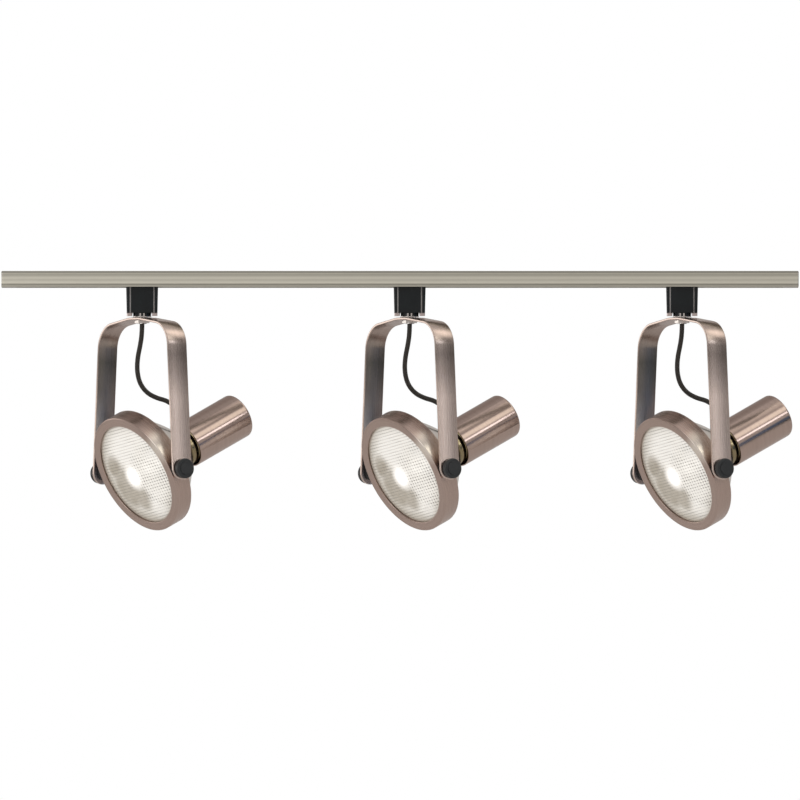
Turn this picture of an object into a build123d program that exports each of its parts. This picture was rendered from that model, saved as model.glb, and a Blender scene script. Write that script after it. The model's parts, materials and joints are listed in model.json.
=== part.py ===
"""Ceiling track light: a rail with three gimbal-ring lamp heads, in millimetres.

Origin: middle of the rail's top face, which lies against the ceiling.
+X runs along the rail, +Z points up, and everything hangs below z = 0.
"""

from math import cos, pi, radians, sin, tan
import os

from build123d import *

# ---- driving dimensions ----
# rail
RAIL_LENGTH = 828.0
RAIL_WIDTH = 35.0
RAIL_HEIGHT = 16.5
RAIL_WALL = 1.6
SLOT_HALF = 9.0
# flutes along the rail's sides: distance below the top, width, depth
FLUTES = (
    (0.6, 1.2, 0.35),
    (3.6, 1.6, 0.3),
    (9.2, 1.6, 0.3),
    (14.0, 1.4, 0.9),
)
END_CAP_THICKNESS = 6.5
END_CAP_PLUG = 10.0
SCREW_HOLE_RADIUS = 2.5
SCREW_HOLE_SPACING = 680.0
KNOCKOUT_RADIUS = 11.1
KNOCKOUT_X = -392.0
FEED_BLOCK_X = -358.0
FEED_BLOCK_LENGTH = 34.0
FEED_BLOCK_HEIGHT = 10.0
FEED_BLOCK_Z = -7.4
FEED_SCREW_RADIUS = 2.7
FEED_SCREW_Y = 6.0

# insulators and conductors inside the rail
INSULATOR_IN = 12.6
INSULATOR_TOP = -3.6
INSULATOR_BOTTOM = -12.6
CONDUCTOR = 2.0
CONDUCTOR_Z = -8.1

# heads
HEAD_X = (-272.0, 10.2, 297.5)
PAN = 55.6
TILT = 26.6
PIVOT_Z = -210.3

# adapter under the rail
ADAPTER_GAP = 0.3
ADAPTER_TOP = 33.7
ADAPTER_BOTTOM = 32.5
ADAPTER_DEPTH = 22.0
ADAPTER_HEIGHT = 27.0
ADAPTER_WALL = 2.0
PANEL_HALF = 12.4
COLLAR_RADIUS = 9.5
COLLAR_HEIGHT = 3.7
TAB_SHANK_X = 13.2
TAB_SHANK = 1.2
TAB_SHANK_DEPTH = 13.0
TAB_FOOT_X = 13.25
TAB_FOOT_WIDTH = 5.9
TAB_FOOT_DEPTH = 12.0
TAB_FOOT_BOTTOM = -46.8
TAB_ENGAGEMENT = 1.2

# swivel
STEM_RADIUS = 5.0
STEM_BORE = 3.4
FIT_CLEARANCE = 0.05
NUT_FLATS = 13.6
NUT_HEIGHT = 3.0
WASHER_RADIUS = 10.0
WASHER_THICKNESS = 0.6

# yoke
STRAP_WIDTH = 24.0
STRAP = 2.6
ARM_HALF = 74.0
ARM_FLARE = 4.1
CROWN_SLOPE = 8.0
CROWN_FLAT = 9.0
CROWN_RADIUS = 27.0
STRAP_TOP_Z = -48.6

# gimbal ring and its pivots
RING_RADIUS = 65.5
RING_WALL = 1.6
RING_FRONT = 9.2
RING_BACK = -10.5
LIP_RADIUS = 56.0
STUD_RADIUS = 3.0
KNOB_RADIUS = 10.6
KNOB_THICKNESS = 6.6
SPACER_RADIUS = 8.0

# lamp
LAMP_RADIUS = 60.6
GLASS = 2.6
NECK_RADIUS = 20.3
NECK_Z = -55.0
SKIRT_LENGTH = 24.0
THREAD_PITCH = 3.6
THREAD_CRESTS = 6
SKIRT_RADIUS = 19.4
SCREW_RADIUS = 13.1

# socket cup and lampholder
CUP_RADIUS = 24.0
CUP_WALL = 1.0
CUP_FRONT = -62.6
CUP_BACK = -137.0

# spring wire hoop behind the lamp's rim
HOOP_WIRE_RADIUS = 0.9

# lamp's face, as distances along the beam
LENS_BACK = 0.0
LENS_RIM = 6.8
LENS_CROWN = 8.9

# cord, from the swivel to the grommet in the cup's wall, for a head whose swivel is at x = 0
CORD_DIAMETER = 5.0
GROMMET_Z = -71.0
CORD_ROUTE = [
    (0.0, 0.0, -50.0),
    (0.0, 0.0, -64.0),
    (-1.8, 0.9, -77.0),
    (-4.8, 2.2, -91.0),
    (-5.4, 3.9, -105.0),
    (-2.4, 6.3, -118.0),
    (5.0, 10.0, -127.6),
    (15.4, 15.4, -132.9),
    (27.0, 21.0, -135.6),
    (38.2, 26.2, -144.3),
    (44.7, 30.6, -159.9),
]

# ---- planes that follow from the pose of a head ----
pan_angle = radians(PAN)
tilt_angle = radians(TILT)
pivot_axis = Vector(cos(pan_angle), -sin(pan_angle), 0)
away = Vector(sin(pan_angle), cos(pan_angle), 0)
beam = away * -cos(tilt_angle) + Vector(0, 0, -sin(tilt_angle))
pivot = Vector(0, 0, PIVOT_Z)

# yoke: x along the pivot axis, y up. lamp: z along the beam, x along the pivot axis, y up
yoke_plane = Plane(origin=pivot, x_dir=pivot_axis, z_dir=-away)
lamp_plane = Plane(origin=pivot, x_dir=pivot_axis, z_dir=beam)
side_plane = Plane(origin=pivot, x_dir=away, z_dir=pivot_axis)
# a profile drawn here, x outward and y along the beam, turns about the beam's line
profile_plane = Plane(origin=pivot, x_dir=pivot_axis, z_dir=lamp_plane.y_dir * -1)

slot_z = -RAIL_HEIGHT
housing_top = slot_z - ADAPTER_GAP
housing_bottom = housing_top - ADAPTER_HEIGHT
collar_bottom = housing_bottom - COLLAR_HEIGHT
strap_bottom_z = STRAP_TOP_Z - STRAP

os.makedirs("parts", exist_ok=True)


def write(part, node, x=0.0):
    """Label one sub-part, move it along the rail and write its STEP file."""
    placed = part.moved(Location((x, 0, 0)))
    placed.label = node
    export_step(placed, f"parts/{node}.step")


# ---- rail and what it holds ----


def track_rail():
    """Fluted channel, open below, with screw holes and a wire knockout in its top."""
    inner = RAIL_WIDTH / 2 - RAIL_WALL
    with BuildPart() as rail:
        with BuildSketch(Plane.YZ.offset(-RAIL_LENGTH / 2)):
            with Locations((0, -RAIL_HEIGHT / 2)):
                Rectangle(RAIL_WIDTH, RAIL_HEIGHT)
            with Locations((0, -RAIL_HEIGHT / 2)):
                Rectangle(2 * inner, RAIL_HEIGHT - 2 * RAIL_WALL, mode=Mode.SUBTRACT)
            with Locations((0, -RAIL_HEIGHT)):
                Rectangle(2 * SLOT_HALF, 4 * RAIL_WALL, mode=Mode.SUBTRACT)
            for below_top, width, cut in FLUTES:
                with Locations((RAIL_WIDTH / 2, -below_top), (-RAIL_WIDTH / 2, -below_top)):
                    Rectangle(2 * cut, width, mode=Mode.SUBTRACT)
        extrude(amount=RAIL_LENGTH)
        with Locations((-SCREW_HOLE_SPACING / 2, 0, 0), (SCREW_HOLE_SPACING / 2, 0, 0)):
            Cylinder(SCREW_HOLE_RADIUS, 4 * RAIL_WALL, mode=Mode.SUBTRACT)
        with Locations((KNOCKOUT_X, 0, 0)):
            Cylinder(KNOCKOUT_RADIUS, 4 * RAIL_WALL, mode=Mode.SUBTRACT)
    return rail.part


insulator_out = RAIL_WIDTH / 2 - RAIL_WALL
feed_screw_x = FEED_BLOCK_X - 9
feed_block_bottom = FEED_BLOCK_Z - FEED_BLOCK_HEIGHT / 2
inner_length = RAIL_LENGTH - 2


def rail_insulators():
    """Two plastic strips on the channel's side walls, each with a groove for its conductor."""
    with BuildPart() as strips:
        with BuildSketch(Plane.YZ.offset(-inner_length / 2)):
            for side in (-1, 1):
                middle = side * (insulator_out + INSULATOR_IN) / 2
                with Locations((middle, (INSULATOR_TOP + INSULATOR_BOTTOM) / 2)):
                    Rectangle(insulator_out - INSULATOR_IN, INSULATOR_TOP - INSULATOR_BOTTOM)
                with Locations((side * INSULATOR_IN, CONDUCTOR_Z)):
                    Rectangle(2 * CONDUCTOR, 1.6 * CONDUCTOR, mode=Mode.SUBTRACT)
        extrude(amount=inner_length)
    return strips.part


def rail_conductors():
    """Two copper bars, one at the bottom of each insulator's groove."""
    with BuildPart() as bars:
        for side in (-1, 1):
            with Locations((0, side * (INSULATOR_IN + 1.3), CONDUCTOR_Z)):
                Box(inner_length - 6, 0.6 * CONDUCTOR, 1.5 * CONDUCTOR)
    return bars.part


def end_cap(side):
    """Cap over one end of the rail, with a plug that fills the end of the channel's mouth."""
    plug_height = 2.2
    face = side * RAIL_LENGTH / 2
    with BuildPart() as cap:
        with Locations((face + side * END_CAP_THICKNESS / 2, 0, -RAIL_HEIGHT / 2)):
            Box(END_CAP_THICKNESS, RAIL_WIDTH, RAIL_HEIGHT)
        outer = cap.faces().sort_by(Axis.X)[-1 if side > 0 else 0]
        chamfer(outer.edges(), 0.8)
        with Locations((face - side * END_CAP_PLUG / 2, 0, -RAIL_HEIGHT + plug_height / 2)):
            Box(END_CAP_PLUG, 2 * SLOT_HALF - 0.6, plug_height)
    return cap.part


def feed_block():
    """Terminal block in the channel beside the knockout, where the supply wires land."""
    with BuildPart() as block:
        with Locations((FEED_BLOCK_X, 0, FEED_BLOCK_Z)):
            Box(FEED_BLOCK_LENGTH, 2 * INSULATOR_IN - 0.6, FEED_BLOCK_HEIGHT)
        chamfer(block.edges().filter_by(Axis.X), 0.8)
        for side in (-1, 1):
            with Locations((feed_screw_x, side * FEED_SCREW_Y, feed_block_bottom)):
                Cylinder(FEED_SCREW_RADIUS + 0.3, 6.0, mode=Mode.SUBTRACT)
    return block.part


def feed_screws():
    """Two slotted brass terminal screws in the feed block."""
    with BuildPart() as screws:
        for side in (-1, 1):
            with Locations((feed_screw_x, side * FEED_SCREW_Y, feed_block_bottom + 1.6)):
                Cylinder(FEED_SCREW_RADIUS, 2.4)
            with Locations((feed_screw_x, side * FEED_SCREW_Y, feed_block_bottom + 0.4)):
                Box(3 * FEED_SCREW_RADIUS, 0.8, 1.2, mode=Mode.SUBTRACT)
    return screws.part


# ---- adapter ----


def adapter_housing():
    """Glossy hollow box under the rail with a raised front and back panel and a round collar."""
    taper = (ADAPTER_TOP - ADAPTER_BOTTOM) / 2
    with BuildPart() as housing:
        with BuildSketch(Plane.XZ.offset(-ADAPTER_DEPTH / 2)):
            Polygon(
                (-ADAPTER_TOP / 2, housing_top),
                (ADAPTER_TOP / 2, housing_top),
                (ADAPTER_TOP / 2 - taper, housing_bottom),
                (-ADAPTER_TOP / 2 + taper, housing_bottom),
                align=None,
            )
        extrude(amount=ADAPTER_DEPTH)
        upright = housing.edges().filter_by_position(
            Axis.Z, housing_bottom + 1, housing_top - 1
        )
        fillet(upright, 1.6)
        for side in (-1, 1):
            with Locations((0, side * ADAPTER_DEPTH / 2, (housing_top + housing_bottom) / 2)):
                Box(2 * PANEL_HALF, 2.0, ADAPTER_HEIGHT)
        panel_edges = (
            housing.edges()
            .filter_by(Axis.Z)
            .filter_by(lambda e: abs(e.center().Y) > ADAPTER_DEPTH / 2 + 0.9)
        )
        fillet(panel_edges, 0.9)
        with Locations((0, 0, housing_bottom - COLLAR_HEIGHT / 2)):
            Cylinder(COLLAR_RADIUS, COLLAR_HEIGHT)
        # the hollow, the stem's thread and the slots for the two lock tabs
        hollow = ADAPTER_HEIGHT - 2 * ADAPTER_WALL
        with Locations((0, 0, housing_top - hollow / 2)):
            Box(ADAPTER_BOTTOM - 2 * ADAPTER_WALL, ADAPTER_DEPTH - 4, hollow, mode=Mode.SUBTRACT)
        with Locations((0, 0, housing_bottom)):
            Cylinder(STEM_RADIUS + FIT_CLEARANCE, 4 * COLLAR_HEIGHT, mode=Mode.SUBTRACT)
        for side in (-1, 1):
            with Locations((side * TAB_SHANK_X, 0, housing_bottom)):
                Box(TAB_SHANK + 0.8, TAB_SHANK_DEPTH + 0.8, 12, mode=Mode.SUBTRACT)
    return housing.part


def adapter_neck():
    """Plastic core: a flange in the housing's mouth, a neck in the slot and a head over its lips."""
    lip_top = slot_z + RAIL_WALL
    flange = 3.0
    with BuildPart() as neck:
        with Locations((0, 0, housing_top - flange / 2)):
            Box(2 * TAB_SHANK_X - 2.4, ADAPTER_DEPTH - 4.4, flange)
        with Locations((0, 0, (housing_top + lip_top + 4.0) / 2)):
            Box(20.0, 2 * SLOT_HALF - 2 * FIT_CLEARANCE, lip_top + 4.0 - housing_top)
        with Locations((0, 0, lip_top + ADAPTER_GAP + 1.2)):
            Box(16.0, 23.0, 2.4)
        with Locations((0, 0, lip_top + 4.0)):
            Box(12.0, 14.0, 5.0)
    return neck.part


def adapter_contacts():
    """Two sprung copper blades that reach from the neck's head to the conductors."""
    reach = INSULATOR_IN - 0.1
    with BuildPart() as blades:
        for side in (-1, 1):
            with Locations((0, side * (7.0 + reach) / 2, CONDUCTOR_Z - 0.5)):
                Box(7.0, reach - 7.0, 0.8)
            with Locations((0, side * reach, CONDUCTOR_Z)):
                Cylinder(0.6, 5.0, rotation=(0, 90, 0))
    return blades.part


def lock_tabs():
    """Two sprung metal tabs: a foot below the housing and a shank up into the rail's slot."""
    shank_top = slot_z + TAB_ENGAGEMENT
    foot_top = housing_bottom - 0.2
    with BuildPart() as tabs:
        for side in (-1, 1):
            with Locations((side * TAB_SHANK_X, 0, (shank_top + foot_top) / 2)):
                Box(TAB_SHANK, TAB_SHANK_DEPTH, shank_top - foot_top)
        for side in (-1, 1):
            with BuildSketch(Plane.XY.offset(TAB_FOOT_BOTTOM)):
                with Locations((side * TAB_FOOT_X, 0)):
                    RectangleRounded(TAB_FOOT_WIDTH, TAB_FOOT_DEPTH, 1.0)
            extrude(amount=foot_top - TAB_FOOT_BOTTOM)
    return tabs.part


def swivel_hardware():
    """Threaded tube, hex nut and eared lock washer: the axle that the yoke turns on."""
    stem_top = housing_bottom + ADAPTER_WALL + 3.0
    nut_top = strap_bottom_z - 0.15
    stem_bottom = nut_top - NUT_HEIGHT - 0.8
    washer_bottom = collar_bottom - WASHER_THICKNESS
    ear = 3.8
    with BuildPart() as hardware:
        with Locations((0, 0, (stem_top + stem_bottom) / 2)):
            Cylinder(STEM_RADIUS, stem_top - stem_bottom)
        with BuildSketch(Plane.XY.offset(nut_top - NUT_HEIGHT)):
            RegularPolygon(NUT_FLATS / 2, 6, major_radius=False)
        extrude(amount=NUT_HEIGHT)
        with Locations((0, 0, (stem_top + stem_bottom) / 2)):
            Cylinder(STEM_BORE, stem_top - stem_bottom + 1, mode=Mode.SUBTRACT)
    with BuildPart() as lock_washer:
        with BuildSketch(Plane.XY.offset(washer_bottom)):
            Circle(WASHER_RADIUS)
            with PolarLocations(WASHER_RADIUS, 16):
                Circle(0.8, mode=Mode.SUBTRACT)
            Circle(STEM_RADIUS, mode=Mode.SUBTRACT)
        extrude(amount=WASHER_THICKNESS)
        # two ears bent up against the collar
        for x in (-1.9, 1.9):
            with Locations((x, -COLLAR_RADIUS - 0.55, washer_bottom + ear / 2)):
                Box(1.5, 0.9, ear)
    return Compound([*hardware.part.solids(), *lock_washer.part.solids()])


# ---- yoke ----


def yoke_outline(outward):
    """Corners of the yoke's arch, moved outward from the middle of the strap, right side."""
    flare = tan(radians(ARM_FLARE))
    slope = tan(radians(CROWN_SLOPE))
    crown = STRAP_TOP_Z - STRAP / 2 - PIVOT_Z + outward
    foot = ARM_HALF + outward / cos(radians(ARM_FLARE))
    shoulder = CROWN_FLAT + outward * tan(radians(CROWN_SLOPE / 2))
    corner_y = (crown - (foot - shoulder) * slope) / (1 - flare * slope)
    corner_x = foot - corner_y * flare
    low = -2 * STRAP_WIDTH
    return (foot - low * flare, low), (corner_x, corner_y), (shoulder, crown)


def arch(outward, mode):
    """Fill the arch under the strap's outer or inner face, on the yoke's plane."""
    low, corner, shoulder = yoke_outline(outward)
    right = [low, corner, shoulder]
    left = [(-x, y) for x, y in reversed(right)]
    bends = [CROWN_RADIUS + outward, 40.0, 40.0, CROWN_RADIUS + outward]
    with BuildSketch(yoke_plane, mode=Mode.PRIVATE) as filled:
        with BuildLine():
            FilletPolyline(*right, *left, radius=bends)
            Line(left[-1], right[0])
        make_face()
    extrude(filled.sketch, amount=STRAP_WIDTH / 2, both=True, mode=mode)


def yoke():
    """U-shaped strap with rounded feet, a hole for the swivel and a hole for each pivot stud."""
    with BuildPart() as strap:
        arch(STRAP / 2, Mode.ADD)
        arch(-STRAP / 2, Mode.SUBTRACT)
        with BuildSketch(side_plane, mode=Mode.PRIVATE) as side_view:
            Circle(STRAP_WIDTH / 2)
            with Locations((0, -PIVOT_Z / 2)):
                Rectangle(STRAP_WIDTH, -PIVOT_Z)
        extrude(side_view.sketch, amount=2 * ARM_HALF, both=True, mode=Mode.INTERSECT)
        with BuildSketch(side_plane, mode=Mode.PRIVATE) as stud_hole:
            Circle(STUD_RADIUS + FIT_CLEARANCE)
        extrude(stud_hole.sketch, amount=2 * ARM_HALF, both=True, mode=Mode.SUBTRACT)
        with Locations((0, 0, STRAP_TOP_Z)):
            Cylinder(STEM_RADIUS + FIT_CLEARANCE, 4 * STRAP, mode=Mode.SUBTRACT)
    return strap.part


# ---- pivots ----

arm_outer = ARM_HALF + STRAP / 2
arm_inner = ARM_HALF - STRAP / 2
# the arms lean in, so a flat face beside one keeps clear of the strap's slant
lean = STRAP_WIDTH / 2 * tan(radians(ARM_FLARE))
knob_inner = arm_outer + lean * KNOB_RADIUS / (STRAP_WIDTH / 2) + 0.25
knob_outer = knob_inner + KNOB_THICKNESS
stud_outer = knob_outer - 2.0


def side_offset(side, distance):
    """The plane across the pivot axis at a distance out from the lamp's middle, facing out."""
    return Plane(
        origin=pivot + pivot_axis * (side * distance), x_dir=away, z_dir=pivot_axis * side
    )


def pivot_studs():
    """Two studs fixed in the gimbal ring, one through each arm."""
    seat = RING_RADIUS - RING_WALL / 2
    with BuildPart() as studs:
        for side in (-1, 1):
            with BuildSketch(side_offset(side, seat)):
                Circle(STUD_RADIUS)
            extrude(amount=stud_outer - seat)
    return studs.part


def knob(side):
    """Round clamping knob with a raised disc, bored to turn on its stud."""
    bore_end = stud_outer + 0.4
    with BuildPart() as grip:
        with BuildSketch(side_offset(side, knob_inner)):
            Circle(KNOB_RADIUS)
        extrude(amount=KNOB_THICKNESS - 0.8)
        fillet(grip.edges(), 1.2)
        with BuildSketch(side_offset(side, knob_outer - 1.2)):
            Circle(KNOB_RADIUS * 0.68)
        extrude(amount=1.2, taper=12)
        with BuildSketch(side_offset(side, knob_inner)):
            Circle(STUD_RADIUS + FIT_CLEARANCE)
        extrude(amount=bore_end - knob_inner, mode=Mode.SUBTRACT)
    return grip.part


def cord_grommet():
    """Ribbed bush in the cup's wall, on the line that the cord enters along."""
    seat = Plane(
        origin=pivot + beam * GROMMET_Z + lamp_plane.y_dir * (CUP_RADIUS + 0.3),
        x_dir=pivot_axis,
        z_dir=lamp_plane.y_dir,
    )
    with BuildPart() as bush:
        with BuildSketch(seat.offset(-2.2)):
            Circle(3.6)
        extrude(amount=2.2)
        with BuildSketch(seat):
            Circle(5.4)
        extrude(amount=2.0, taper=10)
        with BuildSketch(seat.offset(2.0)):
            Circle(4.2)
        extrude(amount=2.2, taper=10)
        with BuildSketch(seat.offset(-3)):
            Circle(CORD_DIAMETER / 2 + FIT_CLEARANCE)
        extrude(amount=8, mode=Mode.SUBTRACT)
    return bush.part


def bushings():
    """Black washers between the ring and the arms, and the cord's grommet in the cup."""
    spacer_inner = RING_RADIUS + 0.6
    spacer_outer = arm_inner - lean * SPACER_RADIUS / (STRAP_WIDTH / 2) - 0.25
    with BuildPart() as spacers:
        for side in (-1, 1):
            with BuildSketch(side_offset(side, spacer_inner)):
                Circle(SPACER_RADIUS)
                Circle(STUD_RADIUS + FIT_CLEARANCE, mode=Mode.SUBTRACT)
            extrude(amount=spacer_outer - spacer_inner)
    return Compound([*spacers.part.solids(), *cord_grommet().solids()])


# ---- gimbal ring and lamp, turned about the line of the beam ----


def turned(outline):
    """Turn a closed outline of (radius, distance along the beam) points about the beam's line."""
    with BuildPart() as solid:
        with BuildSketch(profile_plane):
            with BuildLine():
                Polyline(*outline, close=True)
            make_face()
        revolve(axis=Axis(pivot, beam))
    return solid.part


def gimbal_ring():
    """Short cylinder with a flat front lip that the lamp's face rests behind."""
    inner = RING_RADIUS - RING_WALL
    bead = 1.4
    with BuildPart() as ring:
        with BuildSketch(profile_plane):
            with BuildLine():
                Polyline(
                    (inner, RING_BACK + 0.5),
                    (inner, RING_FRONT - RING_WALL),
                    (LIP_RADIUS, RING_FRONT - RING_WALL),
                    (LIP_RADIUS, RING_FRONT - 0.3),
                    (LIP_RADIUS + 0.3, RING_FRONT),
                    (RING_RADIUS - bead, RING_FRONT),
                )
                RadiusArc(
                    (RING_RADIUS - bead, RING_FRONT), (RING_RADIUS, RING_FRONT - bead), bead
                )
                Polyline(
                    (RING_RADIUS, RING_FRONT - bead),
                    (RING_RADIUS, RING_BACK + 0.5),
                    (RING_RADIUS - 0.5, RING_BACK),
                    (inner + 0.5, RING_BACK),
                    (inner, RING_BACK + 0.5),
                )
            make_face()
        revolve(axis=Axis(pivot, beam))
        for side in (-1, 1):
            with BuildSketch(side_offset(side, RING_RADIUS - RING_WALL / 2)):
                Circle(STUD_RADIUS)
            extrude(amount=3, mode=Mode.SUBTRACT)
            with BuildSketch(side_offset(side, RING_RADIUS - 2 * RING_WALL)):
                Circle(STUD_RADIUS)
            extrude(amount=2 * RING_WALL, mode=Mode.SUBTRACT)
    return ring.part


def retaining_ring():
    """Sprung wire hoop that snaps in behind the lamp's rim."""
    hoop_radius = RING_RADIUS - RING_WALL - HOOP_WIRE_RADIUS - 0.15
    with BuildPart() as hoop:
        with BuildSketch(profile_plane):
            with Locations((hoop_radius, -5.5)):
                Circle(HOOP_WIRE_RADIUS)
        revolve(axis=Axis(pivot, beam))
    return hoop.part


def lamp_lens():
    """Domed front glass of the lamp, seated behind the ring's lip."""
    with BuildPart() as lens:
        with BuildSketch(profile_plane):
            with BuildLine():
                ThreePointArc(
                    (0, LENS_CROWN), (LIP_RADIUS / 2, LENS_CROWN - 0.5), (LIP_RADIUS - 1.5, LENS_RIM)
                )
                Polyline(
                    (LIP_RADIUS - 1.5, LENS_RIM),
                    (LAMP_RADIUS - 1, LENS_RIM),
                    (LAMP_RADIUS, LENS_RIM - 1),
                    (LAMP_RADIUS, LENS_BACK),
                    (LAMP_RADIUS - 5, LENS_BACK),
                    (LAMP_RADIUS - 6, LENS_RIM - 4),
                    (0, LENS_CROWN - 5),
                    (0, LENS_CROWN),
                )
            make_face()
        revolve(axis=Axis(pivot, beam))
    return lens.part


def bell(offset_in):
    """Points of the bell's wall from rim to neck, moved in by an offset."""
    return [
        (LAMP_RADIUS - offset_in, LENS_BACK),
        (LAMP_RADIUS - 1.4 - offset_in, -7.0),
        (52.0 - offset_in, -19.5 + offset_in * 0.4),
        (40.5 - offset_in, -33.5 + offset_in * 0.6),
        (28.5 - offset_in, -46.0 + offset_in * 0.6),
        (NECK_RADIUS - offset_in, NECK_Z),
    ]


def lamp_reflector():
    """Bell-shaped glass body of the lamp, silvered inside."""
    outer = bell(0)
    inner = bell(GLASS)
    with BuildPart() as body:
        with BuildSketch(profile_plane):
            with BuildLine():
                Spline(*outer)
                Line(outer[-1], inner[-1])
                Spline(*inner)
                Line(inner[0], outer[0])
            make_face()
        revolve(axis=Axis(pivot, beam))
    return body.part


def lamp_base():
    """Brass skirt, screw shell and end contact of the lamp."""
    skirt_end = NECK_Z - SKIRT_LENGTH
    outline = [
        (NECK_RADIUS - 2.8, NECK_Z - 0.1),
        (NECK_RADIUS, NECK_Z - 0.1),
        (NECK_RADIUS, NECK_Z - 5.0),
        (SKIRT_RADIUS, NECK_Z - 6.0),
        (SKIRT_RADIUS, NECK_Z - 9.0),
        (SKIRT_RADIUS - 1.0, NECK_Z - 10.0),
        (SKIRT_RADIUS, NECK_Z - 11.0),
        (SKIRT_RADIUS, NECK_Z - 14.0),
        (SKIRT_RADIUS - 1.0, NECK_Z - 15.0),
        (SKIRT_RADIUS, NECK_Z - 16.0),
        (SKIRT_RADIUS, skirt_end + 1.5),
        (SKIRT_RADIUS - 1.5, skirt_end),
        (SCREW_RADIUS - 1.0, skirt_end),
    ]
    for turn in range(THREAD_CRESTS):
        top = skirt_end - 1.0 - turn * THREAD_PITCH
        outline.append((SCREW_RADIUS, top - THREAD_PITCH * 0.35))
        outline.append((SCREW_RADIUS - 1.0, top - THREAD_PITCH * 0.9))
    shell_end = outline[-1][1]
    outline += [
        (SCREW_RADIUS - 4.0, shell_end - 3.0),
        (4.8, shell_end - 5.0),
        (4.2, shell_end - 6.4),
        (0, shell_end - 7.0),
        (0, shell_end - 4.0),
        (SCREW_RADIUS - 2.4, shell_end),
        (SCREW_RADIUS - 2.4, skirt_end + 1.2),
        (NECK_RADIUS - 2.8, skirt_end + 2.6),
    ]
    return turned(outline)


def lampholder():
    """Moulded lampholder inside the cup, bored for the screw shell, on a boss behind."""
    front = NECK_Z - SKIRT_LENGTH - 0.6
    outer = CUP_RADIUS - CUP_WALL - 0.4
    bore = SCREW_RADIUS + 0.4
    bore_end = front - (THREAD_CRESTS + 2.2) * THREAD_PITCH
    back = bore_end - 12.0
    boss = 6.0
    boss_end = CUP_BACK + CUP_WALL
    return turned(
        [
            (bore, front),
            (outer - 3, front),
            (outer, front - 3),
            (outer, back + 4),
            (outer - 4, back),
            (boss, back),
            (boss, boss_end),
            (0, boss_end),
            (0, bore_end),
            (bore, bore_end),
        ]
    )


def socket_cup():
    """Deep drawn cup over the lampholder, closed behind, with the cord's hole in its side."""
    bend = 3.0
    with BuildPart() as cup:
        with BuildSketch(profile_plane):
            with BuildLine():
                Line((CUP_RADIUS - CUP_WALL, CUP_FRONT), (CUP_RADIUS, CUP_FRONT))
                Line((CUP_RADIUS, CUP_FRONT), (CUP_RADIUS, CUP_BACK + bend))
                RadiusArc((CUP_RADIUS, CUP_BACK + bend), (CUP_RADIUS - bend, CUP_BACK), bend)
                Polyline(
                    (CUP_RADIUS - bend, CUP_BACK),
                    (0, CUP_BACK),
                    (0, CUP_BACK + CUP_WALL),
                    (CUP_RADIUS - bend, CUP_BACK + CUP_WALL),
                )
                RadiusArc(
                    (CUP_RADIUS - bend, CUP_BACK + CUP_WALL),
                    (CUP_RADIUS - CUP_WALL, CUP_BACK + bend),
                    -(bend - CUP_WALL),
                )
                Line(
                    (CUP_RADIUS - CUP_WALL, CUP_BACK + bend), (CUP_RADIUS - CUP_WALL, CUP_FRONT)
                )
            make_face()
        revolve(axis=Axis(pivot, beam))
        hole_plane = Plane(
            origin=pivot + beam * GROMMET_Z, x_dir=pivot_axis, z_dir=lamp_plane.y_dir
        )
        with BuildSketch(hole_plane):
            Circle(3.65)
        extrude(amount=2 * CUP_RADIUS, mode=Mode.SUBTRACT)
    return cup.part


# ---- cord ----


def corner_radii(route):
    """As large an arc at each corner as 0.45 of its shorter run allows."""
    radii = []
    for before, here, after in zip(route, route[1:], route[2:]):
        run_in = Vector(*here) - Vector(*before)
        run_out = Vector(*after) - Vector(*here)
        turn = run_in.get_angle(run_out)
        radii.append(0.45 * min(run_in.length, run_out.length) / tan(radians(turn / 2)))
    return radii


def cord():
    """Round flexible cord from inside the swivel's tube to the grommet."""
    radii = corner_radii(CORD_ROUTE)
    with BuildPart() as tube:
        with BuildLine() as path:
            FilletPolyline(*CORD_ROUTE, radius=radii)
        start = Plane(origin=path.wire() @ 0, z_dir=path.wire() % 0)
        with BuildSketch(start):
            Circle(CORD_DIAMETER / 2)
        sweep(path=path.wire())
    length = path.wire().length
    section = pi * (CORD_DIAMETER / 2) ** 2
    print("cord radii", [round(r, 1) for r in radii])
    print("cord length", round(length, 1), "volume", round(tube.part.volume / (section * length), 4))
    return tube.part


# ---- the whole fixture ----

write(track_rail(), "track_rail")
write(rail_insulators(), "rail_insulators")
write(rail_conductors(), "rail_conductors")
write(Compound([*end_cap(-1).solids(), *end_cap(1).solids()]), "end_caps")
write(feed_block(), "feed_block")
write(feed_screws(), "feed_screws")

head_parts = {
    "adapter_housing": adapter_housing(),
    "adapter_neck": adapter_neck(),
    "adapter_contacts": adapter_contacts(),
    "lock_tabs": lock_tabs(),
    "swivel_hardware": swivel_hardware(),
    "yoke": yoke(),
    "pivot_studs": pivot_studs(),
    "bushings": bushings(),
    "knob_left": knob(-1),
    "knob_right": knob(1),
    "gimbal_ring": gimbal_ring(),
    "retaining_ring": retaining_ring(),
    "lamp_lens": lamp_lens(),
    "lamp_reflector": lamp_reflector(),
    "lamp_base": lamp_base(),
    "lampholder": lampholder(),
    "socket_cup": socket_cup(),
    "cord": cord(),
}
for number, head_x in enumerate(HEAD_X, start=1):
    for name, part in head_parts.items():
        write(part, f"{name}_{number}", head_x)
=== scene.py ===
"""Looks for the track light: a rail with three gimbal-ring lamp heads, in metres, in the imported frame."""

import json
import math

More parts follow.
